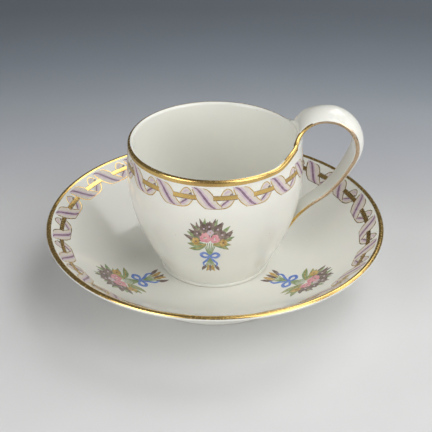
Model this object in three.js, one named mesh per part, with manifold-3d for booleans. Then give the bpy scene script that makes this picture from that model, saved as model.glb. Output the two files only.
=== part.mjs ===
// Porcelain cabinet cup with a strap handle, standing in its deep saucer.
// Millimetres, +Z up. The origin is the centre of the saucer's foot, and the handle points along +X.

import * as THREE from 'three';
import { mergeVertices } from 'three/addons/utils/BufferGeometryUtils.js';
import Module from 'manifold-3d';

const wasm = await Module();
wasm.setup();

// Cup: turned bowl on a low foot ring
const cupHeight = 54.3;
const cupRimRadius = 33.5;
const cupBellyRadius = 34.2;
const cupBellyHeight = 41;
const cupFootRadius = 22.1;
const cupFootHeight = 1.3;
const cupFootWidth = 2.6;
const cupFootStep = 0.5;
const cupFootRound = 0.4;
const cupBaseHollow = 1.6;
const cupBaseWall = 3.2;
const cupLipWall = 1.9;
const cupWall = 2.4;
const cupLowerRise = 13;
const cupLowerSlope = THREE.MathUtils.degToRad(29);
const cupBellyRun = 15;

// Strap handle: springs from the raised rim, loops over and runs down to the wall
const loopRadius = 12.5;
const loopReach = 8.2;
const loopDrop = 2;
const strapWidth = 13.7;
const strapTailWidth = 9.2;
const strapEdge = 1.6;
const strapTailEdge = 1.1;
const strapCrown = 2.5;
const strapTailCrown = 1.1;
const loopLeave = THREE.MathUtils.degToRad(-25);
const loopRun = 26;
const tailRun = 22;
const tailHeight = 15.4;
const tailDip = 3.2;
const flareReach = 17.5;
const flareRise = 11.5;
const lugRise = 3;
const rimPullDepth = 16;
const handleClearance = 0.3;

// Saucer: deep dish on a foot ring, with a flat well for the cup
const saucerRadius = 67;
const saucerHeight = 26.9;
const saucerFloor = 8.4;
const saucerWellMargin = 3.9;
const saucerFootRadius = 35.4;
const saucerFootWidth = 3;
const saucerFootTaper = 0.8;
const saucerFootRound = 0.6;
const saucerBaseWall = 4;
const saucerDishWall = 2.5;
const saucerLipWall = 1.9;
const saucerLipSlope = THREE.MathUtils.degToRad(36.9);
const saucerWellRun = 14;
const saucerLipRun = 20;
const saucerUnderSlope = THREE.MathUtils.degToRad(36.2);
const saucerUnderRun = 24.8;
const saucerShoulderRun = 5.8;

// Fineness of the facets
const turnSegments = 96;
const curveSteps = 8;
const lipSteps = 2;
const strapRows = 34;
const strapAcross = 8;

const porcelainColour = 0xeeebe3;
const overrun = 10;

function glaze() {
  return new THREE.MeshStandardMaterial({ color: porcelainColour, roughness: 0.12, metalness: 0 });
}

// Points along a cubic curve from its four handles, first point left out
function sweep(a, b, c, d, steps = curveSteps) {
  return new THREE.CubicBezierCurve(a, b, c, d).getPoints(steps).slice(1);
}

// Points round an arc in the profile plane, both ends included
function arc(centreR, centreZ, radius, from, to, steps) {
  const points = [];
  for (let i = 0; i <= steps; i += 1) {
    const angle = THREE.MathUtils.lerp(from, to, i / steps);
    points.push(new THREE.Vector2(centreR + radius * Math.cos(angle), centreZ + radius * Math.sin(angle)));
  }
  return points;
}

// A closed mesh with position alone, its shared vertices merged
function weld(geometry) {
  geometry.deleteAttribute('normal');
  geometry.deleteAttribute('uv');
  return mergeVertices(geometry);
}

function turned(profile) {
  return weld(new THREE.LatheGeometry(profile, turnSegments).rotateX(Math.PI / 2));
}

function toSolid(geometry) {
  return new wasm.Manifold(new wasm.Mesh({
    numProp: 3,
    vertProperties: Float32Array.from(geometry.attributes.position.array),
    triVerts: Uint32Array.from(geometry.index.array),
  }));
}

function fromSolid(solid) {
  const mesh = solid.getMesh();
  const geometry = new THREE.BufferGeometry();
  geometry.setAttribute('position', new THREE.BufferAttribute(mesh.vertProperties, 3));
  geometry.setIndex(new THREE.BufferAttribute(mesh.triVerts, 1));
  return geometry;
}

function block(x0, x1, halfY, z0, z1) {
  const box = new THREE.BoxGeometry(x1 - x0, 2 * halfY, z1 - z0);
  box.translate((x0 + x1) / 2, 0, (z0 + z1) / 2);
  return toSolid(weld(box));
}

const point = (r, z) => new THREE.Vector2(r, z);

// The outside of the bowl, from the foot ring's step up to the start of the lip
function outerWall(grow = 0) {
  const foot = point(cupFootRadius - cupFootStep, cupFootHeight);
  const belly = point(cupBellyRadius, cupBellyHeight);
  const lip = point(cupRimRadius, cupHeight - cupLipWall / 2);
  const lower = sweep(
    foot,
    point(foot.x + cupLowerRise * Math.tan(cupLowerSlope), foot.y + cupLowerRise),
    point(belly.x, belly.y - cupBellyRun),
    belly,
  );
  const upperRun = (lip.y - belly.y) / 2;
  const upper = sweep(belly, point(belly.x, belly.y + upperRun), point(lip.x, lip.y - upperRun), lip, curveSteps / 2);
  return [foot, ...lower, ...upper].map((p) => point(p.x + grow, p.y));
}

// Radius of the outer wall at a height above the cup's foot
function outerRadiusAt(height) {
  const wall = outerWall();
  const next = wall.findIndex((p) => p.y >= height);
  if (next <= 0) return wall[0].x;
  const [low, high] = [wall[next - 1], wall[next]];
  return THREE.MathUtils.mapLinear(height, low.y, high.y, low.x, high.x);
}

// The inside of the bowl, from the lip down to the axis
function innerWall() {
  const floorHeight = cupBaseHollow + cupBaseWall;
  const lip = point(cupRimRadius - cupLipWall, cupHeight - cupLipWall / 2);
  const belly = point(cupBellyRadius - cupWall, cupBellyHeight);
  const corner = point(cupFootRadius - cupFootWidth, floorHeight);
  const upperRun = (lip.y - belly.y) / 2;
  const upper = sweep(lip, point(lip.x, lip.y - upperRun), point(belly.x, belly.y + upperRun), belly, curveSteps / 2);
  const lower = sweep(
    belly,
    point(belly.x, belly.y - cupBellyRun),
    point(corner.x + cupLowerRise / 2, corner.y),
    point(corner.x / 2, corner.y),
  );
  return [...upper, ...lower, point(0, floorHeight)];
}

// The foot ring, from the hollow under the base round to the wall's first point
function footRing() {
  const inner = cupFootRadius - cupFootWidth;
  return [
    point(0, cupBaseHollow),
    point(inner - cupFootStep, cupBaseHollow),
    point(inner, 0),
    ...arc(cupFootRadius - cupFootRound, cupFootRound, cupFootRound, -Math.PI / 2, 0, lipSteps),
    point(cupFootRadius, cupFootHeight - cupFootRound / 2),
  ];
}

// Height that the flank of the strap's root adds to the rim at a distance y from the handle's plane
function flankRise(y) {
  const along = (strapWidth / 2 + flareReach - Math.abs(y)) / flareReach;
  const share = THREE.MathUtils.clamp(along, 0, 1);
  return flareRise * (1 - Math.sqrt(1 - share * share));
}

// Half width of the strap's root at a height above the rim
function flankHalfWidth(rise) {
  const share = 1 - THREE.MathUtils.clamp(rise / flareRise, 0, 1);
  return strapWidth / 2 + flareReach * (1 - Math.sqrt(1 - share * share));
}

// The bowl with its rim pulled up towards the handle, cut flat where the strap is luted on
function cupBodySolid() {
  const lip = arc(cupRimRadius - cupLipWall / 2, cupHeight - cupLipWall / 2, cupLipWall / 2, 0, Math.PI, 2 * lipSteps);
  const profile = [...footRing(), ...outerWall(), ...lip.slice(1), ...innerWall()];
  const bowl = turned(profile);
  const places = bowl.attributes.position;
  const pullTop = lugRise + 2 * cupLipWall;
  for (let i = 0; i < places.count; i += 1) {
    const [x, y, z] = [places.getX(i), places.getY(i), places.getZ(i)];
    const pull = THREE.MathUtils.smoothstep(z, cupHeight - rimPullDepth, cupHeight - cupLipWall);
    if (x > 0) places.setZ(i, z + pull * Math.min(flankRise(y), pullTop));
  }
  const lugTop = cupHeight + lugRise;
  const reach = cupRimRadius + overrun;
  return toSolid(bowl).subtract(block(-reach, reach, reach, lugTop, lugTop + pullTop + overrun));
}

// Middle line of the strap's edges, in the handle's plane
function strapPath() {
  const centre = point(cupRimRadius + loopReach, cupHeight - loopDrop);
  const lugTurn = Math.PI - Math.asin((loopDrop + lugRise / 2) / loopRadius);
  const loop = arc(centre.x, centre.y, loopRadius, lugTurn, loopLeave, 2 * curveSteps);
  const leave = loop[loop.length - 1];
  const leaving = point(Math.sin(loopLeave), -Math.cos(loopLeave));
  const tail = point(outerRadiusAt(tailHeight), tailHeight);
  const dip = point(outerRadiusAt(tailHeight - tailDip), tailHeight - tailDip);
  const arriving = dip.clone().sub(tail).normalize();
  const run = sweep(
    leave,
    leave.clone().addScaledVector(leaving, loopRun),
    tail.clone().addScaledVector(arriving, -tailRun),
    tail,
  );
  return new THREE.SplineCurve([...loop, ...run, point(dip.x - strapTailCrown, dip.y)]);
}

// One closed section of the strap, as pairs of place across the width and place along its normal
function strapSection(halfWidth, edge, crown, sag) {
  const section = [];
  const side = halfWidth - edge / 2;
  const face = (share, sign) => {
    const lift = sign > 0 ? crown * (1 - share * share) : 0;
    return [side * share, sag * share * share + sign * edge / 2 + lift];
  };
  for (let i = 0; i <= strapAcross; i += 1) section.push(face(1 - (2 * i) / strapAcross, 1));
  section.push([-halfWidth, sag]);
  for (let i = 0; i <= strapAcross; i += 1) section.push(face((2 * i) / strapAcross - 1, -1));
  section.push([halfWidth, sag]);
  return section;
}

// The strap as a loft of its sections along the path
function strapSolid() {
  const path = strapPath();
  const total = path.getLength();
  const topShare = (loopRadius * Math.PI) / 2 / total;
  const wallRadius = cupRimRadius - cupLipWall / 2;
  const places = [];
  let section = [];
  for (let row = 0; row <= strapRows; row += 1) {
    const share = row / strapRows;
    const here = path.getPointAt(share);
    const along = path.getTangentAt(share);
    const normal = point(-along.y, along.x);
    const rootShare = THREE.MathUtils.clamp(share / topShare, 0, 1);
    const tailShare = THREE.MathUtils.clamp((share - topShare) / (1 - topShare), 0, 1);
    const rising = rootShare < 1 ? flankHalfWidth(here.y - cupHeight) : strapWidth / 2;
    const halfWidth = THREE.MathUtils.lerp(rising, strapTailWidth / 2, tailShare);
    const edge = THREE.MathUtils.lerp(
      THREE.MathUtils.lerp(cupLipWall, strapEdge, rootShare),
      strapTailEdge,
      tailShare,
    );
    const crown = THREE.MathUtils.lerp(strapCrown * rootShare, strapTailCrown, tailShare);
    const sag = (wallRadius - Math.sqrt(wallRadius * wallRadius - halfWidth * halfWidth)) * (1 - rootShare);
    section = strapSection(halfWidth, edge, crown, sag);
    for (const [across, out] of section) {
      const outward = out - sag;
      places.push(here.x + normal.x * outward, across, here.y + normal.y * outward);
    }
  }
  const count = section.length;
  const faces = [];
  for (let row = 0; row < strapRows; row += 1) {
    for (let i = 0; i < count; i += 1) {
      const [a, b] = [row * count + i, row * count + ((i + 1) % count)];
      const [c, d] = [a + count, b + count];
      faces.push(a, b, c, b, d, c);
    }
  }
  const outline = section.map(([across, out]) => point(across, out));
  for (const [a, b, c] of THREE.ShapeUtils.triangulateShape(outline, [])) {
    faces.push(c, b, a);
    const last = strapRows * count;
    faces.push(last + a, last + b, last + c);
  }
  const geometry = new THREE.BufferGeometry();
  geometry.setAttribute('position', new THREE.Float32BufferAttribute(places, 3));
  geometry.setIndex(faces);
  return toSolid(geometry);
}

// The strap cut flat at its root and fitted to the wall at its tail
function cupHandleSolid() {
  const lugTop = cupHeight + lugRise;
  const wall = outerWall(handleClearance).filter((p) => p.y < cupHeight - loopDrop);
  const top = wall[wall.length - 1];
  const fitting = toSolid(turned([point(0, -overrun), point(wall[0].x, -overrun), ...wall, point(0, top.y)]));
  const rootCut = block(0, cupRimRadius + loopReach / 2, cupRimRadius, lugTop - overrun, lugTop);
  return strapSolid().subtract(rootCut).subtract(fitting);
}

// The dish, its upper face first: well, rising wall and rounded lip, then the underside and foot ring
function saucerProfile() {
  const wellEdge = point(cupFootRadius + saucerWellMargin, saucerFloor);
  const round = saucerLipWall / 2;
  const lipCentre = point(saucerRadius - round, saucerHeight - round);
  const rise = point(-Math.sin(saucerLipSlope), Math.cos(saucerLipSlope));
  const slope = point(Math.cos(saucerLipSlope), Math.sin(saucerLipSlope));
  const upperLip = lipCentre.clone().addScaledVector(rise, round);
  const lowerLip = lipCentre.clone().addScaledVector(rise, -round);
  const upper = sweep(
    wellEdge,
    point(wellEdge.x + saucerWellRun, wellEdge.y),
    upperLip.clone().addScaledVector(slope, -saucerLipRun),
    upperLip,
  );
  const lipArc = arc(
    lipCentre.x, lipCentre.y, round, saucerLipSlope + Math.PI / 2, saucerLipSlope - Math.PI / 2, 2 * lipSteps,
  );
  const baseHeight = saucerFloor - saucerBaseWall;
  const footShoulder = point(saucerFootRadius + saucerFootTaper, saucerFloor - saucerDishWall);
  const underSlope = point(Math.cos(saucerUnderSlope), Math.sin(saucerUnderSlope));
  const lower = sweep(
    lowerLip,
    lowerLip.clone().addScaledVector(underSlope, -saucerUnderRun),
    point(footShoulder.x + saucerShoulderRun, footShoulder.y + saucerFootTaper),
    footShoulder,
  );
  const footInner = saucerFootRadius - saucerFootWidth;
  const foot = arc(saucerFootRadius - saucerFootRound, saucerFootRound, saucerFootRound, 0, -Math.PI / 2, lipSteps);
  return [
    point(0, saucerFloor),
    wellEdge,
    ...upper,
    ...lipArc.slice(1),
    ...lower,
    ...foot,
    point(footInner, 0),
    point(footInner - saucerFootTaper, baseHeight),
    point(0, baseHeight),
  ];
}

function part(name, geometry) {
  const mesh = new THREE.Mesh(geometry, glaze());
  mesh.name = name;
  return mesh;
}

const cabinetCup = new THREE.Group();

const cup = new THREE.Group();
cup.position.z = saucerFloor;
cup.add(part('cup_body', fromSolid(cupBodySolid())));
cup.add(part('cup_handle', fromSolid(cupHandleSolid())));

cabinetCup.add(part('saucer', turned(saucerProfile().reverse())));
cabinetCup.add(cup);

export default cabinetCup;
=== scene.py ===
# Cabinet cup in its deep saucer: a strap handle grows out of the raised rim, with gilt edges,
# a ribbon wound round a gold rod as border, and posies tied with ribbon.
import bisect
import math
import random

import bmesh
import bpy
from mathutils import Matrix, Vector


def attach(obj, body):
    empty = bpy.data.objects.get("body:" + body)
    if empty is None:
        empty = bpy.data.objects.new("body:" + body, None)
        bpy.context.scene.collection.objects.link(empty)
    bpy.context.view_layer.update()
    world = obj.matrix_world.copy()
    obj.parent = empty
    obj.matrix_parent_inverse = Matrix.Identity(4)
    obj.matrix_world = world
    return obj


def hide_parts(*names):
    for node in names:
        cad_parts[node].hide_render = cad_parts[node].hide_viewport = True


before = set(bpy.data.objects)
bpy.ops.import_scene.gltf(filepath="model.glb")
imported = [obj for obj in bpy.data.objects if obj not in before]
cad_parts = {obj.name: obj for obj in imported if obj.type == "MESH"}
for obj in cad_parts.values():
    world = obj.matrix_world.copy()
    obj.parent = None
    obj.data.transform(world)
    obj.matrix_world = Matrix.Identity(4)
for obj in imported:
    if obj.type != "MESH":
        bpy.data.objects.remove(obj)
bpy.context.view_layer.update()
mm = 0.001
smoothAngle = 42  # degrees between faces, up to which an edge is shaded smooth


# Small tools

def deselectAll():
    if bpy.context.object and bpy.context.object.mode != "OBJECT":
        bpy.ops.object.mode_set(mode="OBJECT")
    bpy.ops.object.select_all(action="DESELECT")


def pickOnly(piece):
    deselectAll()
    piece.select_set(True)
    bpy.context.view_layer.objects.active = piece


def editFaces(piece):
    pickOnly(piece)
    bpy.ops.object.mode_set(mode="EDIT")
    bpy.ops.mesh.select_mode(type="FACE")
    bpy.ops.mesh.select_all(action="DESELECT")
    return bmesh.from_edit_mesh(piece.data)


def turnNormalsOut(piece):
    pickOnly(piece)
    bpy.ops.object.mode_set(mode="EDIT")
    bpy.ops.mesh.select_all(action="SELECT")
    bpy.ops.mesh.normals_make_consistent(inside=False)
    bpy.ops.object.mode_set(mode="OBJECT")


def smoothStep(value, low, high):
    share = min(1, max(0, (value - low) / (high - low)))
    return share * share * (3 - 2 * share)


def blendBetween(a, b, share):
    return a + (b - a) * share


def curvePoints(a, b, c, d, steps):
    points = []
    for i in range(1, steps + 1):
        t = i / steps
        points.append(a * (1 - t) ** 3 + b * 3 * t * (1 - t) ** 2 + c * 3 * t * t * (1 - t) + d * t ** 3)
    return points


def arcPoints(centre, radius, start, end, steps):
    angles = [blendBetween(start, end, i / steps) for i in range(steps + 1)]
    return [centre + Vector((math.cos(a), math.sin(a))) * radius for a in angles]


def applyAll(piece):
    pickOnly(piece)
    for modifier in list(piece.modifiers):
        bpy.ops.object.modifier_apply(modifier=modifier.name)


def joinAs(name, parts):
    deselectAll()
    for part in parts:
        part.select_set(True)
    bpy.context.view_layer.objects.active = parts[0]
    if len(parts) > 1:
        bpy.ops.object.join()
    joined = bpy.context.object
    joined.name = name
    return joined


def turnOnWheel(name, profile, steps):
    bpy.ops.mesh.primitive_plane_add(size=mm)
    pot = bpy.context.object
    pot.name = name
    bpy.ops.object.mode_set(mode="EDIT")
    bpy.ops.mesh.select_mode(type="VERT")
    bpy.ops.mesh.select_all(action="SELECT")
    bpy.ops.mesh.merge(type="CENTER")
    bpy.ops.transform.translate(value=(profile[0].x * mm, 0, profile[0].y * mm))
    for here, there in zip(profile, profile[1:]):
        step = (there - here) * mm
        bpy.ops.mesh.extrude_region_move(TRANSFORM_OT_translate={"value": (step.x, 0, step.y)})
    bpy.ops.mesh.select_all(action="SELECT")
    bpy.ops.mesh.spin(steps=steps, angle=math.tau, center=(0, 0, 0), axis=(0, 0, 1))
    bpy.ops.mesh.select_all(action="SELECT")
    bpy.ops.mesh.remove_doubles(threshold=mm / 1000)
    bpy.ops.mesh.normals_make_consistent(inside=False)
    bpy.ops.object.mode_set(mode="OBJECT")
    return pot


def finish(piece, body, slot, material, *nodes):
    piece.data.materials.clear()
    piece.data.materials.append(material)
    pickOnly(piece)
    bpy.ops.object.shade_smooth_by_angle(angle=math.radians(smoothAngle))
    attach(piece, body)
    if nodes:
        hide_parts(*nodes)


# Materials

def newMaterial(name):
    material = bpy.data.materials.new(name)
    material.use_nodes = True
    tree = material.node_tree
    shader = tree.nodes["Principled BSDF"]
    place = tree.nodes.new("ShaderNodeTexCoord")
    return material, tree, shader, place.outputs["Object"]


def addNoise(tree, place, scale, detail=3, roughness=0.5):
    noise = tree.nodes.new("ShaderNodeTexNoise")
    noise.inputs["Scale"].default_value = scale
    noise.inputs["Detail"].default_value = detail
    noise.inputs["Roughness"].default_value = roughness
    tree.links.new(place, noise.inputs["Vector"])
    return noise.outputs["Fac"]


def addRamp(tree, source, stops):
    ramp = tree.nodes.new("ShaderNodeValToRGB")
    elements = ramp.color_ramp.elements
    while len(elements) < len(stops):
        elements.new(0.5)
    for element, (position, colour) in zip(elements, stops):
        element.position = position
        element.color = (*colour, 1)
    tree.links.new(source, ramp.inputs["Fac"])
    return ramp.outputs["Color"]


def addRange(tree, source, low, high, toLow, toHigh):
    span = tree.nodes.new("ShaderNodeMapRange")
    for name, value in (("From Min", low), ("From Max", high), ("To Min", toLow), ("To Max", toHigh)):
        span.inputs[name].default_value = value
    tree.links.new(source, span.inputs["Value"])
    return span.outputs["Result"]


def addBump(tree, shader, source, strength, distance):
    bump = tree.nodes.new("ShaderNodeBump")
    bump.inputs["Strength"].default_value = strength
    bump.inputs["Distance"].default_value = distance
    tree.links.new(source, bump.inputs["Height"])
    tree.links.new(bump.outputs["Normal"], shader.inputs["Normal"])


def addMix(tree, factor, first, second):
    mix = tree.nodes.new("ShaderNodeMix")
    mix.data_type = "RGBA"
    tree.links.new(factor, mix.inputs["Factor"])
    for colour, socket in ((first, mix.inputs["A"]), (second, mix.inputs["B"])):
        if isinstance(colour, tuple):
            socket.default_value = (*colour, 1)
        else:
            tree.links.new(colour, socket)
    return mix.outputs["Result"]


noiseSpan = (0.3, 0.7)  # nearly all values of a noise texture lie between these

glaze = {
    "warm": (0.81, 0.805, 0.742),
    "cool": (0.785, 0.785, 0.728),
    "toneScale": 38,
    "toneStops": (0.35, 0.65),
    "bare": (0.62, 0.57, 0.48),
    "bareBand": 0.25,  # mm of foot ring that the glaze leaves bare
    "bareEdge": 0.1,
    "bareRoughness": 0.6,
    "speck": (0.30, 0.24, 0.17),
    "speckScale": 130,
    "speckEdge": (0.016, 0.026),
    "speckStrength": 0.7,
    "gloss": (0.10, 0.17),
    "glossScale": 60,
    "ior": 1.5,
    "glow": 0.12,  # share of the light that goes through the porcelain's skin
    "glowTint": (1, 0.75, 0.5),
    "glowDepth": 2,
    "waveScale": 190,
    "waveStrength": 0.10,
    "waveHeight": 0.12,
}


def porcelain(name, standHeight):
    material, tree, shader, place = newMaterial(name)
    tones = list(zip(glaze["toneStops"], (glaze["cool"], glaze["warm"])))
    tone = addRamp(tree, addNoise(tree, place, glaze["toneScale"]), tones)
    cells = tree.nodes.new("ShaderNodeTexVoronoi")
    cells.inputs["Scale"].default_value = glaze["speckScale"]
    tree.links.new(place, cells.inputs["Vector"])
    specks = addRange(tree, cells.outputs["Distance"], *glaze["speckEdge"], glaze["speckStrength"], 0)
    speckled = addMix(tree, specks, tone, glaze["speck"])
    split = tree.nodes.new("ShaderNodeSeparateXYZ")
    tree.links.new(place, split.inputs["Vector"])
    top = (standHeight + glaze["bareBand"]) * mm
    bare = addRange(tree, split.outputs["Z"], top, top + glaze["bareEdge"] * mm, 1, 0)
    tree.links.new(addMix(tree, bare, speckled, glaze["bare"]), shader.inputs["Base Color"])
    gloss = addRange(tree, addNoise(tree, place, glaze["glossScale"]), *noiseSpan, *glaze["gloss"])
    rough = tree.nodes.new("ShaderNodeMath")
    rough.operation = "ADD"
    rough.use_clamp = True
    tree.links.new(gloss, rough.inputs[0])
    tree.links.new(addRange(tree, bare, 0, 1, 0, glaze["bareRoughness"]), rough.inputs[1])
    tree.links.new(rough.outputs["Value"], shader.inputs["Roughness"])
    shader.inputs["IOR"].default_value = glaze["ior"]
    shader.inputs["Subsurface Weight"].default_value = glaze["glow"]
    shader.inputs["Subsurface Radius"].default_value = glaze["glowTint"]
    shader.inputs["Subsurface Scale"].default_value = glaze["glowDepth"] * mm
    wave = addNoise(tree, place, glaze["waveScale"], 2)
    addBump(tree, shader, wave, glaze["waveStrength"], glaze["waveHeight"] * mm)
    return material


gold = {
    "bright": (0.76, 0.53, 0.19),
    "deep": (0.68, 0.46, 0.16),
    "worn": (0.54, 0.35, 0.13),
    "tones": (0.28, 0.42, 0.62),  # shares of the wear noise at which worn, deep and bright are reached
    "wearScale": 120,
    "handled": (0.58, 0.44, 0.30),
    "handledFrom": (34, 39),  # mm from the cup's axis over which fingers have rubbed the gold
    "handledAbove": (29, 34),  # mm above the table, which leaves the saucer's gold out
    "gloss": (0.2, 0.3),
    "glossScale": 900,
    "grainScale": 500,
    "grainStrength": 0.006,
    "grainHeight": 0.02,
}


def burnishedGold():
    material, tree, shader, place = newMaterial("burnishedGold")
    wear = addNoise(tree, place, gold["wearScale"])
    tone = addRamp(tree, wear, list(zip(gold["tones"], (gold["worn"], gold["deep"], gold["bright"]))))
    axes = tree.nodes.new("ShaderNodeSeparateXYZ")
    tree.links.new(place, axes.inputs["Vector"])
    beside = addRange(tree, axes.outputs["X"], *[v * mm for v in gold["handledFrom"]], 0, 1)
    above = addRange(tree, axes.outputs["Z"], *[v * mm for v in gold["handledAbove"]], 0, 1)
    handled = tree.nodes.new("ShaderNodeMath")
    handled.operation = "MULTIPLY"
    tree.links.new(beside, handled.inputs[0])
    tree.links.new(above, handled.inputs[1])
    rubbed = addMix(tree, handled.outputs["Value"], tone, gold["handled"])
    tree.links.new(rubbed, shader.inputs["Base Color"])
    shader.inputs["Metallic"].default_value = 1
    gloss = addRange(tree, addNoise(tree, place, gold["glossScale"]), *noiseSpan, *gold["gloss"])
    tree.links.new(gloss, shader.inputs["Roughness"])
    grain = addNoise(tree, place, gold["grainScale"], 2)
    addBump(tree, shader, grain, gold["grainStrength"], gold["grainHeight"] * mm)
    return material


wash = {
    "scale": 700,
    "roughness": 0.6,
    "stops": (0.33, 0.62),  # shares of the noise at which the enamel is thin and full
    "gloss": (0.14, 0.26),
    "strength": 0.12,
    "height": 0.03,
}


def enamel(name, thin, full):
    material, tree, shader, place = newMaterial(name)
    tone = addNoise(tree, place, wash["scale"], roughness=wash["roughness"])
    tree.links.new(addRamp(tree, tone, list(zip(wash["stops"], (thin, full)))), shader.inputs["Base Color"])
    tree.links.new(addRange(tree, tone, *noiseSpan, *wash["gloss"]), shader.inputs["Roughness"])
    addBump(tree, shader, tone, wash["strength"], wash["height"] * mm)
    return material


enamels = {
    "gilding": burnishedGold(),
    "white_enamel": enamel("whiteEnamel", (0.70, 0.64, 0.56), (0.65, 0.585, 0.51)),
    "lilac_enamel": enamel("lilacEnamel", (0.65, 0.54, 0.58), (0.56, 0.44, 0.52)),
    "purple_enamel": enamel("purpleEnamel", (0.33, 0.22, 0.27), (0.21, 0.13, 0.19)),
    "rose_enamel": enamel("roseEnamel", (0.78, 0.44, 0.45), (0.66, 0.25, 0.30)),
    "blue_enamel": enamel("blueEnamel", (0.26, 0.38, 0.72), (0.12, 0.20, 0.55)),
    "green_enamel": enamel("greenEnamel", (0.40, 0.47, 0.25), (0.20, 0.28, 0.13)),
    "brown_enamel": enamel("brownEnamel", (0.33, 0.26, 0.22), (0.13, 0.09, 0.08)),
    "ochre_enamel": enamel("ochreEnamel", (0.70, 0.50, 0.20), (0.42, 0.26, 0.08)),
}


# Cup

cup = {
    "stand": 8.4,
    "height": 54.3,
    "rimRadius": 33.5,
    "bellyRadius": 34.2,
    "bellyHeight": 41,
    "footRadius": 22.1,
    "footHeight": 1.3,
    "footWidth": 2.6,
    "footStep": 0.5,
    "footRound": 0.4,
    "baseHollow": 1.6,
    "baseWall": 3.2,
    "lipWall": 1.9,
    "wall": 2.4,
    "lowerRise": 13,
    "lowerSlope": 29,
    "bellyRun": 15,
    "turns": 144,
    "lipSteps": 8,
    "wallSteps": 26,
    "insideSteps": 16,
    "footSteps": 4,
    "goldDepth": 1.4,
    "goldShare": (0.4, 0.9),  # share of the gold's depth at the handle's root and away from it
    "goldShareTo": 3.6,  # angle from the handle, in root angles, where the second share is reached
    "goldOver": (0.5, 0.1),  # mm that the gold goes over the lip's top, at the root and away from it
    "goldOverFrom": 1.1,
    "goldOverTo": 1.9,
    "goldMargin": 0.01,  # radians that a point of the rim may lie inside the root's angle
}

strap = {
    "loopRadius": 12.5,
    "loopReach": 8.2,
    "loopDrop": 2,
    "width": 13.7,
    "tailWidth": 9.2,
    "edge": 1.6,
    "tailEdge": 1.1,
    "crown": 2.5,
    "tailCrown": 1.1,
    "loopLeave": -25,
    "loopRun": 26,
    "tailRun": 22,
    "tailHeight": 13.4,
    "tailGap": 0.25,
    "flareReach": 17.5,
    "flareRise": 11.5,
    "lugRise": 3,
    "pullDepth": 16,
    "firstRow": 2.1,
    "rowStep": 1.1,
    "loopSteps": 90,
    "runSteps": 160,
    # how far the leaning pull lifts the near rim and lowers the far one, then the distances from the
    # handle's middle plane at which that begins, is full, begins to fade and ends
    "leanNear": (1.25, 10, 16.5, 17, 24.5),
    "leanFar": (1.2, 8, 12.5, 13, 23),
    "leanTop": (1, 4),  # mm above the raised rim over which the lean fades out
    "leanDepth": (-3.5, -2.1),  # mm from the pulled rim's height over which the lean fades in
    # how much narrower the far side of the flare is, then the heights above the rim at which that
    # begins, is full and ends
    "leanWaist": (4.2, 1.5, 4.5, 8.5),
    "rootColumns": 9,
    "rootMargin": 0.05,
    "goldRings": (1, 5),  # rings of the strap's round edge between which the gold lies
    "landedRing": 7,
    "rootRings": 2,  # rings that the gold has more near the root
    "rootGold": (4, 13),  # mm above the rim over which those end
    "narrowing": (0.2, 0.75),
    "landingRows": 6,
    "flatShare": 0.12,
    "sideFrom": 0.999,  # share of the half width from which a point is on the round edge
    "landedThin": 0.72,
    "hugRun": 9,
    "patchColumns": 4,
    "patchMargin": 0.3,
    "patchFit": 0.06,  # mm that a face of the wall may lie off the wall's own line
}

middleColumn = 100  # label of the column in the handle's plane, so that no labelled column is 0
rootAngle = strap["rootColumns"] * math.tau / cup["turns"]


def outerWall():
    foot = Vector((cup["footRadius"] - cup["footStep"], cup["footHeight"]))
    belly = Vector((cup["bellyRadius"], cup["bellyHeight"]))
    lip = Vector((cup["rimRadius"], cup["height"] - cup["lipWall"] / 2))
    rise = Vector((cup["lowerRise"] * math.tan(math.radians(cup["lowerSlope"])), cup["lowerRise"]))
    lower = curvePoints(foot, foot + rise, belly - Vector((0, cup["bellyRun"])), belly, cup["wallSteps"])
    run = Vector((0, (lip.y - belly.y) / 2))
    return [foot] + lower + curvePoints(belly, belly + run, lip - run, lip, cup["wallSteps"])


def outerRadiusAt(height):
    wall = outerWall()
    for low, high in zip(wall, wall[1:]):
        if height <= high.y:
            return blendBetween(low.x, high.x, (height - low.y) / (high.y - low.y))
    return wall[-1].x


def cupProfile():
    inner = cup["footRadius"] - cup["footWidth"]
    footCentre = Vector((cup["footRadius"] - cup["footRound"], cup["footRound"]))
    foot = [
        Vector((0, cup["baseHollow"])),
        Vector((inner / 2, cup["baseHollow"])),
        Vector((inner - cup["footStep"], cup["baseHollow"])),
        Vector((inner, cup["footRound"])),
        Vector((inner + cup["footRound"], 0)),
        *arcPoints(footCentre, cup["footRound"], -math.pi / 2, 0, cup["footSteps"]),
        Vector((cup["footRadius"], cup["footHeight"] - cup["footRound"] / 2)),
    ]
    wall = outerWall()
    lipCentre = Vector((cup["rimRadius"] - cup["lipWall"] / 2, cup["height"] - cup["lipWall"] / 2))
    lip = arcPoints(lipCentre, cup["lipWall"] / 2, 0, math.pi, cup["lipSteps"])
    floorHeight = cup["baseHollow"] + cup["baseWall"]
    belly = Vector((cup["bellyRadius"] - cup["wall"], cup["bellyHeight"]))
    run = Vector((0, (lip[-1].y - belly.y) / 2))
    upper = curvePoints(lip[-1], lip[-1] - run, belly + run, belly, cup["insideSteps"])
    low = Vector((inner / 2, floorHeight))
    corner = Vector((inner + cup["lowerRise"] / 2, floorHeight))
    lower = curvePoints(belly, belly - Vector((0, cup["bellyRun"])), corner, low, cup["wallSteps"])
    return foot + wall + lip[1:] + upper + lower + [Vector((0, floorHeight))]


def flankRise(y):
    share = min(1, max(0, (strap["width"] / 2 + strap["flareReach"] - abs(y)) / strap["flareReach"]))
    return strap["flareRise"] * (1 - math.sqrt(1 - share * share))


def flankHalfWidth(rise):
    share = 1 - min(1, max(0, rise / strap["flareRise"]))
    return strap["width"] / 2 + strap["flareReach"] * (1 - math.sqrt(1 - share * share))


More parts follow.
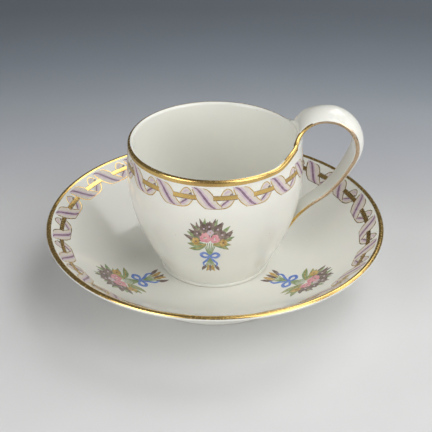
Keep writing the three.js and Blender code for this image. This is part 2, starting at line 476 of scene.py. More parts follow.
def pullRim(bowl):
    low, high = cup["height"] - strap["pullDepth"], cup["height"] - cup["lipWall"]
    for vert in bowl.data.vertices:
        if vert.co.x > 0:
            pull = smoothStep(vert.co.z / mm, low, high)
            vert.co.z += pull * rimRise(vert.co.y / mm) * mm


def leanRise(y):
    near, far = strap["leanNear"], strap["leanFar"]
    if y < 0:
        return near[0] * smoothStep(-y, near[1], near[2]) * (1 - smoothStep(-y, near[3], near[4]))
    return -far[0] * smoothStep(y, far[1], far[2]) * (1 - smoothStep(y, far[3], far[4]))


def rimRise(y):
    return min(flankRise(y), strap["lugRise"])


def leanRim(bowl):
    for vert in bowl.data.vertices:
        x, y, z = vert.co / mm
        rise = z - cup["height"]
        if x > 0 and abs(y) < strap["width"] / 2 + strap["flareReach"]:
            above = 1 - smoothStep(rise - strap["lugRise"], *strap["leanTop"])
            below = smoothStep(rise - rimRise(y), *strap["leanDepth"])
            vert.co.z += leanRise(y) * above * below * mm


def pulledRadius(height, y):
    # the wall's radius at a height, where the rim's pull has carried the wall upwards
    low, high = cup["height"] - strap["pullDepth"], cup["height"] - cup["lipWall"]
    source = height
    for _ in range(4):
        # each pass comes closer to the height that the pull started from
        source = height - smoothStep(source, low, high) * rimRise(y)
    return outerRadiusAt(source)


def strapPath():
    centre = Vector((cup["rimRadius"] + strap["loopReach"], cup["height"] - strap["loopDrop"]))
    radius = strap["loopRadius"]
    start = math.pi - math.asin((strap["loopDrop"] + strap["lugRise"] / 2) / radius)
    leave = math.radians(strap["loopLeave"])
    loop = arcPoints(centre, radius, start, leave, strap["loopSteps"])
    tail = Vector((outerRadiusAt(strap["tailHeight"]), strap["tailHeight"]))
    below = Vector((outerRadiusAt(strap["tailHeight"] - 1), strap["tailHeight"] - 1))
    leaving = Vector((math.sin(leave), -math.cos(leave))) * strap["loopRun"]
    arriving = (below - tail).normalized() * strap["tailRun"]
    return loop + curvePoints(loop[-1], loop[-1] + leaving, tail - arriving, tail, strap["runSteps"])


def strapAt(along):
    after = min(max(1, bisect.bisect_left(strapLengths, along)), len(strapLine) - 1)
    share = (along - strapLengths[after - 1]) / (strapLengths[after] - strapLengths[after - 1])
    heading = (strapLine[after] - strapLine[after - 1]).normalized()
    return blendBetween(strapLine[after - 1], strapLine[after], share), heading


def landingLength():
    # where the strap's flat side comes down on the wall
    clear = strap["tailGap"] + strap["tailEdge"] / 2
    after = strap["loopRadius"] * math.pi
    return next(length for length, place in zip(strapLengths, strapLine)
                if length > after and place.x - outerRadiusAt(place.y) < clear)


strapLine = strapPath()
strapLengths = [0]
for here, there in zip(strapLine, strapLine[1:]):
    strapLengths.append(strapLengths[-1] + (there - here).length)
strapLanding = landingLength()


def strapRows():
    # each row as the lengths along the path of its flat side and of its crowned side
    rows = []
    along = strap["firstRow"]
    while along < strapLanding:
        rows.append((along, along))
        along += strap["rowStep"]
    rest = strapLengths[-1] - strapLanding
    for k in range(strap["landingRows"] + 1):
        share = k / strap["landingRows"]
        rows.append((strapLanding + rest * share * strap["flatShare"], strapLanding + rest * share))
    return rows


def strapPoint(row, across, turn):
    # across runs from -1 to 1 over the width, turn from 0 on the flat side to pi on the crowned side
    toCrown = (1 - math.cos(turn)) / 2
    along = blendBetween(row[0], row[1], toCrown)
    here, heading = strapAt(along)
    quarter = strap["loopRadius"] * math.pi / 2
    rootShare = min(1, along / quarter)
    tailShare = max(0, (along - quarter) / (strapLengths[-1] - quarter))
    landed = smoothStep(along, strapLanding, strapLengths[-1])
    half = flankHalfWidth(here.y - cup["height"]) if rootShare < 1 else strap["width"] / 2
    half = blendBetween(half, strap["tailWidth"] / 2, smoothStep(tailShare, *strap["narrowing"]))
    edge = blendBetween(blendBetween(cup["lipWall"], strap["edge"], rootShare), strap["tailEdge"], tailShare)
    edge *= 1 - strap["landedThin"] * landed
    crown = blendBetween(strap["crown"] * rootShare, strap["tailCrown"], tailShare)
    crown *= 1 - strap["landedThin"] * landed
    rimRadius = cup["rimRadius"] - cup["lipWall"] / 2
    sag = (rimRadius - math.sqrt(rimRadius ** 2 - half ** 2)) * (1 - rootShare)
    side = half - edge / 2
    y = across * side
    bend = sag * across * across - sag
    flatSide, crownSide = bend - edge / 2, bend + edge / 2 + crown * (1 - across * across)
    if abs(across) > strap["sideFrom"]:
        y += math.copysign(edge / 2 * math.sin(turn), across)
    if rootShare < 1:
        shift, low, middle, high = strap["leanWaist"]
        rise = here.y - cup["height"]
        y -= shift * smoothStep(rise, low, middle) * (1 - smoothStep(rise, middle, high)) * (1 + across) / 2
    out = blendBetween(flatSide, crownSide, toCrown)
    x, z = here.x - heading.y * out, here.y + heading.x * out
    wallRadius = outerRadiusAt(min(z, cup["bellyHeight"]))
    hug = smoothStep(along, strapLanding - strap["hugRun"], strapLanding)
    return Vector((x - hug * (wallRadius - math.sqrt(wallRadius ** 2 - y ** 2)), y, z)) * mm


def growStrap(bowl):
    mesh = editFaces(bowl)
    column = mesh.verts.layers.int.new("column")
    ring = mesh.verts.layers.int.new("ring")
    step = math.tau / cup["turns"]
    lipRadius = cup["rimRadius"] - cup["lipWall"] / 2
    lipHeight = cup["height"] + strap["lugRise"] - cup["lipWall"] / 2
    for face in mesh.faces:
        middle = face.calc_center_median() / mm
        onRoot = middle.z > lipHeight + strap["rootMargin"]
        if onRoot and abs(math.atan2(middle.y, middle.x)) < rootAngle:
            face.select_set(True)
            for vert in face.verts:
                radius = math.hypot(vert.co.x, vert.co.y) / mm
                turn = math.atan2(vert.co.z / mm - lipHeight, radius - lipRadius)
                vert[column] = round(math.atan2(vert.co.y, vert.co.x) / step) + middleColumn
                vert[ring] = round(turn / math.pi * cup["lipSteps"])
    for row in strapRows():
        bpy.ops.mesh.extrude_region_move(TRANSFORM_OT_translate={"value": (0, 0, strap["rowStep"] * mm)})
        mesh = bmesh.from_edit_mesh(bowl.data)
        column, ring = mesh.verts.layers.int["column"], mesh.verts.layers.int["ring"]
        for vert in mesh.verts:
            if vert.select:
                across = math.sin((vert[column] - middleColumn) * step) / math.sin(rootAngle)
                vert.co = strapPoint(row, across, vert[ring] / cup["lipSteps"] * math.pi)
        bmesh.update_edit_mesh(bowl.data)
    bpy.ops.mesh.delete(type="FACE")
    bpy.ops.object.mode_set(mode="OBJECT")


def joinTail(bowl):
    # the open end of the strap is bridged to a hole in the wall under it
    mesh = editFaces(bowl)
    column = mesh.verts.layers.int["column"]
    patchAngle = strap["patchColumns"] * math.tau / cup["turns"]
    last = strapRows()[-1]
    top = strapPoint(last, 0, 0).z / mm + strap["patchMargin"]
    bottom = strapPoint(last, 0, math.pi).z / mm - strap["patchMargin"]
    for face in mesh.faces:
        middle = face.calc_center_median() / mm
        if bottom < middle.z < top and abs(math.atan2(middle.y, middle.x)) < patchAngle:
            onWall = abs(math.hypot(middle.x, middle.y) - outerRadiusAt(middle.z)) < strap["patchFit"]
            face.select_set(onWall and not any(vert[column] for vert in face.verts))
    bpy.ops.mesh.delete(type="FACE")
    bpy.ops.mesh.select_mode(type="EDGE")
    bpy.ops.mesh.select_non_manifold(
        extend=False, use_wire=False, use_boundary=True, use_multi_face=False,
        use_non_contiguous=False, use_verts=False,
    )
    bpy.ops.mesh.bridge_edge_loops(number_cuts=1, interpolation="LINEAR")
    bpy.ops.object.mode_set(mode="OBJECT")


def makeCup():
    bowl = turnOnWheel("porcelain_cup", cupProfile(), cup["turns"])
    pullRim(bowl)
    growStrap(bowl)
    joinTail(bowl)
    leanRim(bowl)
    turnNormalsOut(bowl)
    for vert in bowl.data.vertices:
        vert.co.z += cup["stand"] * mm
    return bowl


def keepFaces(source, name, wanted):
    # a copy of some faces of a finished pot, as the start of a film that lies on them
    pickOnly(source)
    bpy.ops.object.duplicate()
    skin = bpy.context.object
    skin.name = name
    mesh = editFaces(skin)
    column, ring = mesh.verts.layers.int.get("column"), mesh.verts.layers.int.get("ring")
    for face in mesh.faces:
        face.select_set(not wanted(face, column, ring))
    bpy.ops.mesh.delete(type="FACE")
    bpy.ops.object.mode_set(mode="OBJECT")
    return skin


film = {"depth": 0.08, "proud": 0.045}  # mm, as thick as the gold is and as far as it stands off the glaze


def thicken(skin):
    solid = skin.modifiers.new("depth", "SOLIDIFY")
    solid.thickness = film["depth"] * mm
    solid.offset = 2 * film["proud"] / film["depth"] - 1
    applyAll(skin)


def isCupGold(face, column, ring):
    middle = face.calc_center_median() / mm
    aboveRim = middle.z - cup["stand"] - cup["height"]
    if all(abs(vert[column] - middleColumn) == strap["rootColumns"] for vert in face.verts):
        # an edge of the strap
        rings = [vert[ring] for vert in face.verts]
        first, last = strap["goldRings"]
        if aboveRim + cup["height"] < strapAt(strapLanding)[0].y:
            last = strap["landedRing"]
        else:
            last += round(strap["rootRings"] * (1 - smoothStep(aboveRim, *strap["rootGold"])))
        return min(rings) >= first and max(rings) <= last
    angle, radius = abs(math.atan2(middle.y, middle.x)), math.hypot(middle.x, middle.y)
    if aboveRim > strap["lugRise"] + strap["leanNear"][0] or angle < rootAngle:
        return False
    over = cup["goldOver"][1]
    if middle.y < 0:
        away = smoothStep(angle, cup["goldOverFrom"] * rootAngle, cup["goldOverTo"] * rootAngle)
        over = blendBetween(*cup["goldOver"], away)
    rise = rimRise(middle.y) + leanRise(middle.y) if middle.x > 0 else 0
    outside = radius > cup["rimRadius"] - cup["lipWall"] / 2 - over
    return outside and aboveRim - rise > -cup["lipWall"] / 2 - cup["goldDepth"]


def makeCupGilding(bowl):
    gilding = keepFaces(bowl, "cup_gilding", isCupGold)
    lipStart = cup["height"] - cup["lipWall"] / 2 + cup["stand"]
    beside = rootAngle - cup["goldMargin"]
    for vert in gilding.data.vertices:
        x, y, z = vert.co / mm
        angle = abs(math.atan2(y, x))
        rise = rimRise(y) + leanRise(y) if x > 0 else 0
        depth = lipStart + rise - z
        if depth > 0 and angle > beside:
            away = smoothStep(angle, rootAngle, cup["goldShareTo"] * rootAngle)
            vert.co.z += depth * (1 - blendBetween(*cup["goldShare"], away)) * mm
    thicken(gilding)
    return gilding


# Saucer

saucer = {
    "radius": 67,
    "height": 26.9,
    "floor": 8.4,
    "wellRadius": 26,
    "footRadius": 35.4,
    "footWidth": 3,
    "footTaper": 0.8,
    "footRound": 0.6,
    "baseWall": 4,
    "dishWall": 2.5,
    "lipWall": 1.9,
    "lipSlope": 36.9,
    "wellRun": 14,
    "lipRun": 20,
    "underSlope": 36.2,
    "underRun": 24.8,
    "shoulderRun": 5.8,
    "turns": 180,
    "lipSteps": 10,
    "dishSteps": 44,
    "underSteps": 30,
    "footSteps": 4,
    "goldFrom": 65.15,
    "goldTo": 20,  # degrees above level on the lip's round edge
    "goldBelow": 3,  # mm under the lip's top where no more gold is looked for
}


def dishCurve():
    slope = math.radians(saucer["lipSlope"])
    along, up = Vector((math.cos(slope), math.sin(slope))), Vector((-math.sin(slope), math.cos(slope)))
    round_ = saucer["lipWall"] / 2
    lipCentre = Vector((saucer["radius"] - round_, saucer["height"] - round_))
    well = Vector((saucer["wellRadius"], saucer["floor"]))
    lip = lipCentre + up * round_
    run = Vector((saucer["wellRun"], 0))
    curve = curvePoints(well, well + run, lip - along * saucer["lipRun"], lip, saucer["dishSteps"])
    return lipCentre, [well] + curve


def saucerProfile():
    lipCentre, dish = dishCurve()
    slope = math.radians(saucer["lipSlope"])
    round_ = saucer["lipWall"] / 2
    lip = arcPoints(lipCentre, round_, slope + math.pi / 2, slope - math.pi / 2, saucer["lipSteps"])
    share = (saucer["goldFrom"] - dish[-2].x) / (dish[-1].x - dish[-2].x)
    dish.insert(-1, dish[-2].lerp(dish[-1], share))
    base = saucer["floor"] - saucer["baseWall"]
    shoulder = Vector((saucer["footRadius"] + saucer["footTaper"], saucer["floor"] - saucer["dishWall"]))
    under = math.radians(saucer["underSlope"])
    run = Vector((math.cos(under), math.sin(under))) * saucer["underRun"]
    bend = shoulder + Vector((saucer["shoulderRun"], saucer["footTaper"]))
    lower = curvePoints(lip[-1], lip[-1] - run, bend, shoulder, saucer["underSteps"])
    inner = saucer["footRadius"] - saucer["footWidth"]
    round_ = saucer["footRound"]
    footCentre = Vector((saucer["footRadius"] - round_, round_))
    foot = arcPoints(footCentre, round_, 0, -math.pi / 2, saucer["footSteps"])
    hollow = [
        Vector((inner + round_ / 2, 0)),
        Vector((inner, round_ / 2)),
        Vector((inner - saucer["footTaper"], base)),
        Vector((inner / 2, base)),
        Vector((0, base)),
    ]
    return [Vector((0, saucer["floor"]))] + dish + lip[1:] + lower + foot + hollow


def isSaucerGold(face, *_):
    middle = face.calc_center_median() / mm
    radius = math.hypot(middle.x, middle.y)
    centre = dishCurve()[0]
    if radius < saucer["goldFrom"] or middle.z < saucer["height"] - saucer["goldBelow"]:
        return False
    turn = math.degrees(math.atan2(middle.z - centre.y, radius - centre.x))
    return turn > saucer["goldTo"]


# Painting: strokes laid flat, then wrapped on the glaze

paint = {
    "edge": 0.012,  # mm above the glaze at the side of a stroke
    "sunk": 0.05,  # mm that a stroke reaches into the glaze
    "fine": 0.38,  # mm, width of an outline
    "strips": 4,
}


def stroke(points, widths, height, level=0, cross=None, steps=None):
    # a strip along the points with a low crown, in millimetres: x to the right, y up, z off the glaze
    steps = steps or max(2, 3 * (len(points) - 1))
    path = smoothPath(points, steps)
    bpy.ops.mesh.primitive_grid_add(x_subdivisions=steps, y_subdivisions=paint["strips"], size=2)
    piece = bpy.context.object
    for vert in piece.data.vertices:
        i = round((vert.co.x + 1) / 2 * steps)
        side = vert.co.y
        here = path[i]
        heading = path[min(i + 1, steps)] - path[max(i - 1, 0)]
        normal = Vector(cross) if cross else Vector((-heading.y, heading.x)).normalized()
        place = here + normal * side * widthAt(widths, i / steps) / 2
        rise = level + paint["edge"] + height * (1 - side * side)
        vert.co = (place.x, place.y, rise)
    return piece


def smoothPath(points, steps):
    # the points joined by a smooth curve
    points = [Vector(p) for p in points]
    if len(points) == 2:
        return [points[0].lerp(points[1], i / steps) for i in range(steps + 1)]
    path = []
    for i in range(steps + 1):
        place = i / steps * (len(points) - 1)
        k = min(int(place), len(points) - 2)
        t = place - k
        p1, p2 = points[k], points[k + 1]
        p0 = points[k - 1] if k else p1 * 2 - p2
        p3 = points[k + 2] if k + 2 < len(points) else p2 * 2 - p1
        path.append((p1 * 2 + (p2 - p0) * t + (p0 * 2 - p1 * 5 + p2 * 4 - p3) * t * t
                     + (p1 * 3 - p0 - p2 * 3 + p3) * t ** 3) / 2)
    return path


def widthAt(widths, share):
    if not isinstance(widths, (list, tuple)):
        return widths
    place = share * (len(widths) - 1)
    k = min(int(place), len(widths) - 2)
    return blendBetween(widths[k], widths[k + 1], place - k)


def closeUnder(piece):
    # gives the strokes a flat underside below the glaze
    turnNormalsOut(piece)
    for face in piece.data.polygons:
        if face.normal.z < 0:
            face.flip()
    solid = piece.modifiers.new("under", "SOLIDIFY")
    solid.thickness = paint["sunk"]
    solid.offset = -1
    applyAll(piece)


def measured(curve):
    # a profile as rows of length along it, place and normal
    table, length = [], 0
    for i, place in enumerate(curve):
        before = curve[max(i - 1, 0)]
        length += (place - before).length
        heading = (curve[min(i + 1, len(curve) - 1)] - before).normalized()
        table.append((length, place, Vector((heading.y, -heading.x))))
    return table


def lengthAt(table, value, axis):
    return next(row[0] for row in table if row[1][axis] >= value)


# for each pot its profile, the side of it that is painted, and the axis of the profile that says where on
# it a motif's middle lies: the height on the cup and the radius on the saucer
pots = {
    "cup": {"side": 1, "axis": 1, "table": measured([p + Vector((0, cup["stand"])) for p in outerWall()])},
    "saucer": {"side": -1, "axis": 0, "table": measured([Vector((5, saucer["floor"]))] + dishCurve()[1])},
}


def wrap(piece, pot, angle, middle):
    # lays flat painting on a turned surface: x runs round it and y along its profile
    table, side = pots[pot]["table"], pots[pot]["side"]
    along = lengthAt(table, middle, pots[pot]["axis"])
    for vert in piece.data.vertices:
        x, y, z = vert.co
        length = along + y
        k = next((i for i, row in enumerate(table) if i and row[0] > length), len(table) - 1)
        low, high = table[k - 1], table[k]
        share = (length - low[0]) / (high[0] - low[0])
        place, normal = low[1].lerp(high[1], share), low[2].lerp(high[2], share).normalized() * side
        azimuth = math.radians(angle) + side * x / place.x
        radius = place.x + normal.x * z
        if pot == "cup" and math.cos(azimuth) > 0:
            radius += pulledRadius(place.y - cup["stand"], radius * math.sin(azimuth)) - place.x
        height = place.y + normal.y * z
        vert.co = Vector((radius * math.cos(azimuth), radius * math.sin(azimuth), height)) * mm
    turnNormalsOut(piece)


border = {
    "rod": 1.9,
    "rodFrom": 3.2,
    "rodPast": -3.1,
    "left": [(-4.5, 3.3), (-4.2, 2.4), (-3.3, 0.2), (-1.7, -2.3), (0.4, -4.2)],
    "right": [(-0.5, 3.8), (1.1, 3.3), (2.7, 1.6), (3.6, 0), (4.8, -1.9), (6.5, -3.6)],
    "ridge": [(-3.9, 4.0), (-2.4, 3.2), (0, 0), (2.5, -3.2), (4.1, -4.1)],
    "under": [(0.4, -4.2), (3.6, -4.35), (7.2, -4.2), (9.2, -3.4), (10.5, -1.8), (10.9, -0.9)],
    "arch": [(6.0, 0.9), (6.5, 2.0), (7.3, 3.1), (8.4, 3.6), (9.5, 3.1), (10.4, 1.8)],
    # first is an angle in degrees, middle the height on the cup and the radius on the saucer in mm
    "cup": {"repeats": 14, "first": -96.4, "middle": 55.9, "period": 15.2, "stretch": 1.0},
    "saucer": {"repeats": 23, "first": 14.8, "middle": 60.8, "period": 16.65, "stretch": 1.09},
}


def shifted(points, x, y=0):
    return [(px + x, py + y) for px, py in points]


def borderStrokes(period):
    # a pass of the ribbon in front of the rod, then the rod, and the pass behind it that shows on both sides
    fine = paint["fine"]
    rod = [(border["rodFrom"], 0), (period + border["rodPast"], 0)]
    ridge, across = border["ridge"], (1, 0)
    return {
        "white_enamel": [
            stroke([(-2.4, 4.0), (-1.4, 2.9), (0.1, 0.2), (1.7, -2.3), (2.6, -4.2)],
                   [3.4, 6.0, 6.8, 6.8, 4.4], 0.02, 0.02, across),
            stroke([(5.6, -4.1), (7.0, -3.3), (8.2, -2.1), (8.7, -1.0)],
                   [3.0, 4.4, 4.6, 4.0], 0.01, 0, across),
            stroke([(8.3, 3.5), (8.2, 2.4), (8.1, 1.0)], [1.2, 3.2, 4.2], 0.01, 0, across),
        ],
        "lilac_enamel": [
            stroke(shifted(ridge, -0.85), [0.4, 0.8, 0.95, 0.9, 0.5], 0.015, 0.035),
            stroke(shifted(ridge, 0.85), [0.5, 0.9, 1.0, 0.9, 0.4], 0.015, 0.035),
            stroke([(6.0, -3.4), (7.3, -2.6), (9.0, -1.2)], [0.8, 1.4, 1.0], 0.015, 0.01),
            stroke([(7.2, 1.5), (8.4, 2.4), (9.3, 2.4)], [0.5, 0.9, 0.6], 0.015, 0.01),
        ],
        "purple_enamel": [
            stroke(ridge, [0.35, 0.75, 0.9, 0.95, 0.45], 0.02, 0.045),
            stroke([(6.3, -3.0), (7.3, -2.1), (8.7, -1.0)], [0.5, 0.8, 0.6], 0.02, 0.02),
        ],
        "brown_enamel": [
            stroke([(9.3, 1.2), (10.4, 1.5)], [0.35, 0.95], 0.02, 0.03),
            stroke(shifted(rod, 0, -0.88), 0.22, 0.015, 0.075),
            stroke(shifted(rod, 0, 0.92), 0.12, 0.015, 0.075),
        ],
        "gilding": [
            stroke(rod, border["rod"], 0.03, 0.045),
            stroke(border["left"], [fine * 0.7, fine, fine, fine, fine * 0.7], 0.02, 0.04),
            stroke(border["right"], [fine * 0.6, fine, fine, fine, fine * 0.8], 0.02, 0.04),
            stroke(border["under"], [fine * 0.6, fine * 0.7, fine, fine, fine, fine * 0.8], 0.02, 0.02),
            stroke(border["arch"], fine * 0.9, 0.02, 0.02),
        ],
    }


painted = {}  # for each pot and slot, the pieces of painting that are joined in the end


def paintBorder(pot):
    ring = border[pot]
    for slot, parts in borderStrokes(ring["period"] / ring["stretch"]).items():
        motif = joinAs(pot + "_" + slot, parts)
        for vert in motif.data.vertices:
            vert.co.x *= ring["stretch"]
        closeUnder(motif)
        painted[(pot, slot)] = []
        for k in range(ring["repeats"]):
            pickOnly(motif)
            bpy.ops.object.duplicate()
            copy = bpy.context.object
            wrap(copy, pot, ring["first"] + pots[pot]["side"] * k * 360 / ring["repeats"], ring["middle"])
            painted[(pot, slot)].append(copy)
        bpy.data.objects.remove(motif)


# Posies

posy = {
    # mm from the posy's middle, and degrees
    "stems": 7,
    "spikes": 17,
    "spikeReach": 7.6,
    "spikeWidth": 1.9,
    "leafAngles": (200, 182, 168, 12, -4, -22),
    "leafReach": 7.6,
    "leafWidth": 2.2,
    "darkBlooms": ((-5.2, 5.2), (0.3, 8.3), (-2.6, 7.4), (3.4, 7.2), (5.6, 4.8)),
    "ochreBlooms": ((-5.9, 1.6), (5.8, 1.2)),
    "roses": ((-1.9, 3.6, 2.7), (2.5, 3.0, 2.3)),
    "tips": 5,
}


def posyStrokes(seed):
    chance = random.Random(seed)
    parts = {slot: [] for slot in
             ("green_enamel", "brown_enamel", "rose_enamel", "blue_enamel", "ochre_enamel", "lilac_enamel")}

    def leaf(x, y, direction, length, width, slot, vein=None):
        turn = math.radians(direction)
        heading, side = Vector((math.cos(turn), math.sin(turn))), Vector((-math.sin(turn), math.cos(turn)))
        bend = side * chance.uniform(-0.14, 0.14) * length
        start = Vector((x, y))
        points = [start, start + heading * length * 0.5 + bend, start + heading * length]
        widths = [0.25, width * 0.8, width, width * 0.75, 0.15]
        parts[slot].append(stroke(points, widths, 0.04, 0.02, steps=8))
        if vein:
            parts[vein].append(stroke(points, [0.2, 0.3, 0.12], 0.02, 0.065, steps=6))

    def bloom(x, y, radius, slot, heart, petals=5):
        first = chance.uniform(0, 360)
        for k in range(petals):
            turn = math.radians(first + k * 360 / petals)
            middle, petal = Vector((x, y)), Vector((math.cos(turn), math.sin(turn))) * radius
            widths = [radius * 0.35, radius * 0.85, radius, radius * 0.55]
            parts[slot].append(stroke([middle + petal * 0.15, middle + petal], widths, 0.05, 0.05, steps=6))
        parts[heart].append(stroke([(x - radius * 0.2, y), (x + radius * 0.2, y)],
                                   [radius * 0.25, radius * 0.4, radius * 0.25], 0.04, 0.10, steps=4))

    def rose(x, y, radius):
        for k, share in enumerate((1.0, 0.66, 0.34)):
            first = chance.uniform(0, 360)
            for j in range(3 if share > 0.5 else 1):
                turns = [math.radians(first + j * 120 + a) for a in (0, 45, 90, 130)]
                reach = radius * share * 0.7
                points = [Vector((x + math.cos(t) * reach, y + math.sin(t) * reach)) for t in turns]
                parts["rose_enamel"].append(
                    stroke(points, [0.3, radius * 0.5, radius * 0.55, 0.3], 0.05, 0.03 + 0.03 * k, steps=9))

    # stems and grey-brown spikes first, then leaves, blooms and the ribbon
    for k in range(posy["stems"]):
        lean = blendBetween(-1, 1, k / (posy["stems"] - 1))
        points = [(lean * 2.6, -12.5), (lean * 0.5, -6.0), (lean * 2.8, 1.0)]
        parts["green_enamel"].append(stroke(points, [0.3, 0.4, 0.35], 0.02, 0.01, steps=8))
    for k in range(posy["spikes"]):
        direction = blendBetween(15, 165, k / (posy["spikes"] - 1)) + chance.uniform(-5, 5)
        turn = math.radians(direction)
        reach = posy["spikeReach"] + chance.uniform(-0.8, 0.8)
        leaf(math.cos(turn) * 3.2, 1.4 + math.sin(turn) * 2.4, direction, reach, posy["spikeWidth"],
             "brown_enamel" if k % 3 else "green_enamel")
    for direction in posy["leafAngles"]:
        reach = posy["leafReach"] + chance.uniform(-0.6, 0.6)
        leaf(math.cos(math.radians(direction)) * 1.5, 0.4, direction, reach, posy["leafWidth"],
             "green_enamel", "ochre_enamel")
    for x, y in posy["darkBlooms"]:
        bloom(x + chance.uniform(-0.3, 0.3), y, 1.9, "brown_enamel", "lilac_enamel", 6)
    for x, y in posy["ochreBlooms"]:
        bloom(x, y, 1.7, "ochre_enamel", "brown_enamel")
    for place in posy["roses"]:
        rose(*place)
    bloom(0.4, 5.9, 1.4, "lilac_enamel", "ochre_enamel")
    for side in (-1, 1):
        parts["blue_enamel"] += [
            stroke([(0, -5.4), (side * 2.2, -3.9), (side * 3.9, -4.9), (side * 2.4, -6.3), (0, -5.6)],
                   [0.5, 1.1, 1.2, 1.1, 0.5], 0.05, 0.06, steps=14),
            stroke([(0, -5.5), (side * 1.5, -8.0), (side * 2.9, -9.6), (side * 2.6, -11.4)],
                   [0.5, 1.0, 0.9, 0.5], 0.05, 0.05, steps=12),
        ]
    parts["blue_enamel"].append(stroke([(-0.7, -5.5), (0.7, -5.5)], [1.0, 1.3, 1.0], 0.06, 0.09, steps=4))
    for k in range(posy["tips"]):
        share = k / (posy["tips"] - 1)
        leaf(blendBetween(-1.8, 1.8, share), -10.5, 270 + blendBetween(-28, 28, share), 4.2, 1.5,
             "ochre_enamel" if k % 2 else "brown_enamel")
    return parts


posies = (
    {"pot": "cup", "angle": -93.5, "middle": 34.2, "size": (0.88, 1.12), "seed": 3},
    {"pot": "saucer", "angle": -148, "middle": 40.5, "size": (1.18, 1.16), "seed": 5},
    {"pot": "saucer", "angle": -33, "middle": 40.5, "size": (1.18, 1.16), "seed": 8},
    {"pot": "saucer", "angle": 89, "middle": 40.5, "size": (1.18, 1.16), "seed": 11},
)


def paintPosy(pot, angle, middle, size, seed):
    for slot, strokes in posyStrokes(seed).items():
        motif = joinAs(pot + "_" + slot, strokes)
        for vert in motif.data.vertices:
            vert.co.x *= size[0]
            vert.co.y *= size[1]
        closeUnder(motif)
        wrap(motif, pot, angle, middle)
        painted.setdefault((pot, slot), []).append(motif)


# Build

deselectAll()
bowl = makeCup()
print("cup turned, rim pulled up, strap grown:", len(bowl.data.polygons), "faces")
cupGilding = makeCupGilding(bowl)
dish = turnOnWheel("porcelain_saucer", saucerProfile(), saucer["turns"])
saucerGilding = keepFaces(dish, "saucer_gilding", isSaucerGold)
thicken(saucerGilding)
print("saucer turned and gilded:", len(dish.data.polygons), "faces")
for pot in pots:
    paintBorder(pot)
print("ribbon borders painted")
for choice in posies:
    paintPosy(**choice)
print("posies painted")

finish(bowl, "cup", "porcelain", porcelain("cupPorcelain", cup["stand"]), "cup_body", "cup_handle")
finish(dish, "saucer", "porcelain", porcelain("saucerPorcelain", 0), "saucer")
finish(cupGilding, "cup", "gilding", enamels["gilding"])
finish(saucerGilding, "saucer", "gilding", enamels["gilding"])
for (body, slot), parts in painted.items():
    piece = joinAs(body + "_painting_" + slot.replace("_enamel", ""), parts)
    finish(piece, body, slot, enamels[slot])
print("materials given")


# Stage, camera and light

stage = {
    "radius": 2.4,
    "rim": 96,
    "gloss": (0.5, 0.6),
    "sheen": 0.1,
    "fibre": (0.985, 1.015),
    "fibreScale": 30,
    "lightPool": (-0.02, -0.6, 0),  # metres, the middle of the rings of painted light and shade that the floor's colour holds
    "reach": 1000,  # mm over which the painted light and shade are spread
    # mm from the pool, and the painted light and shade in the paper's colour there: painted light round 480
    # mm, painted shade darkening further away
    "tones": [
        (200, (0.4, 0.4, 0.4)),
        (480, (0.69, 0.69, 0.69)),
        (640, (0.66, 0.66, 0.66)),
        (671, (0.572, 0.575, 0.585)),
        (709, (0.46, 0.475, 0.505)),
        (752, (0.362, 0.387, 0.42)),
        (777, (0.297, 0.328, 0.36)),
        (817, (0.222, 0.25, 0.283)),
        (863, (0.166, 0.19, 0.216)),
        (900, (0.139, 0.159, 0.182)),
    ],
}


def makeFloor():
    bpy.ops.mesh.primitive_circle_add(vertices=stage["rim"], radius=stage["radius"], fill_type="NGON")
    floor = bpy.context.object
    floor.name = "floor"
    material, tree, shader, place = newMaterial("floorPaper")
    # the floor's colour is a painted pool of light: its tone is looked up by distance from the pool and
    # falls off into painted shade
    away = tree.nodes.new("ShaderNodeVectorMath")
    away.operation = "DISTANCE"
    away.inputs[1].default_value = stage["lightPool"]
    tree.links.new(place, away.inputs[0])
    span = addRange(tree, away.outputs["Value"], 0, stage["reach"] * mm, 0, 1)
    tone = addRamp(tree, span, [(distance / stage["reach"], tone) for distance, tone in stage["tones"]])
    grain = addNoise(tree, place, stage["fibreScale"])
    fibre = addRange(tree, grain, *noiseSpan, *stage["fibre"])
    shade = tree.nodes.new("ShaderNodeVectorMath")
    shade.operation = "SCALE"
    tree.links.new(tone, shade.inputs[0])
    tree.links.new(fibre, shade.inputs["Scale"])
    tree.links.new(shade.outputs["Vector"], shader.inputs["Base Color"])
    tree.links.new(addRange(tree, grain, *noiseSpan, *stage["gloss"]), shader.inputs["Roughness"])
    shader.inputs["Specular IOR Level"].default_value = stage["sheen"]
    floor.data.materials.append(material)


camera = {
    # mm and degrees
    "distance": 450,
    "elevation": 31.43,
    "aim": (0.4, 0, 27.88),
    "lens": 93.875,
    "sensor": 36,
    "nearest": 10,
}


def makeCamera():
    turn = math.radians(camera["elevation"])
    aim = Vector(camera["aim"])
    back = Vector((0, -math.cos(turn), math.sin(turn)))
    bpy.ops.object.camera_add(location=(aim + back * camera["distance"]) * mm)
    eye = bpy.context.object
    eye.rotation_euler = (math.pi / 2 - turn, 0, 0)
    eye.data.lens = camera["lens"]
    eye.data.sensor_width = camera["sensor"]
    eye.data.clip_start = camera["nearest"] * mm
    bpy.context.scene.camera = eye


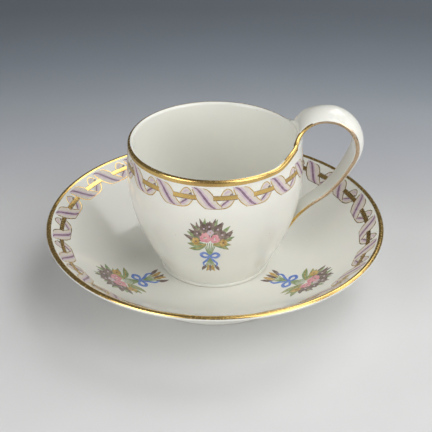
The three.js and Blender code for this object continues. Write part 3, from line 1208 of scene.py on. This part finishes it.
# metres
lampSize = 0.45
lampAim = Vector((0, 0, 0.03))

# the place of each lamp in metres and its power in watts
lamps = {
    "left": ((-0.513, -0.513, 0.338), 2.9),
    "front": ((0.513, -0.513, 0.338), 2.2),
    "high": ((0.325, -0.325, 0.655), 1.55),
    "right": ((0.725, 0, 0.338), 1.1),
    "back": ((0.325, 0.325, 0.655), 1.95),
}


def makeLamps():
    for name, (place, power) in lamps.items():
        bpy.ops.object.light_add(type="AREA", location=place)
        light = bpy.context.object
        light.name = name
        light.rotation_euler = (lampAim - Vector(place)).to_track_quat("-Z", "Y").to_euler()
        light.data.shape = "SQUARE"
        light.data.size = lampSize
        light.data.energy = power


studio = {
    "behind": (0.135, 0.135, 0.135),
    "front": (0.175, 0.175, 0.175),
    "seen": (0.10, 0.115, 0.13),
    "turn": (0.9, -0.7),  # a ray's Y where the light is all the one behind and all the one in front
}


def makeWorld():
    world = bpy.data.worlds.new("studio")
    bpy.context.scene.world = world
    world.use_nodes = True
    tree = world.node_tree
    background = tree.nodes["Background"]
    place = tree.nodes.new("ShaderNodeTexCoord")
    split = tree.nodes.new("ShaderNodeSeparateXYZ")
    tree.links.new(place.outputs["Generated"], split.inputs["Vector"])
    forward = addRange(tree, split.outputs["Y"], *studio["turn"], 0, 1)
    tree.links.new(addMix(tree, forward, studio["behind"], studio["front"]), background.inputs["Color"])
    seen = tree.nodes.new("ShaderNodeBackground")
    seen.inputs["Color"].default_value = (*studio["seen"], 1)
    ray = tree.nodes.new("ShaderNodeLightPath")
    mix = tree.nodes.new("ShaderNodeMixShader")
    tree.links.new(ray.outputs["Is Camera Ray"], mix.inputs["Fac"])
    tree.links.new(background.outputs["Background"], mix.inputs[1])
    tree.links.new(seen.outputs["Background"], mix.inputs[2])
    tree.links.new(mix.outputs["Shader"], tree.nodes["World Output"].inputs["Surface"])


makeFloor()
makeCamera()
makeLamps()
makeWorld()
bpy.context.scene.view_settings.view_transform = "Standard"
print("stage, camera and lamps set")
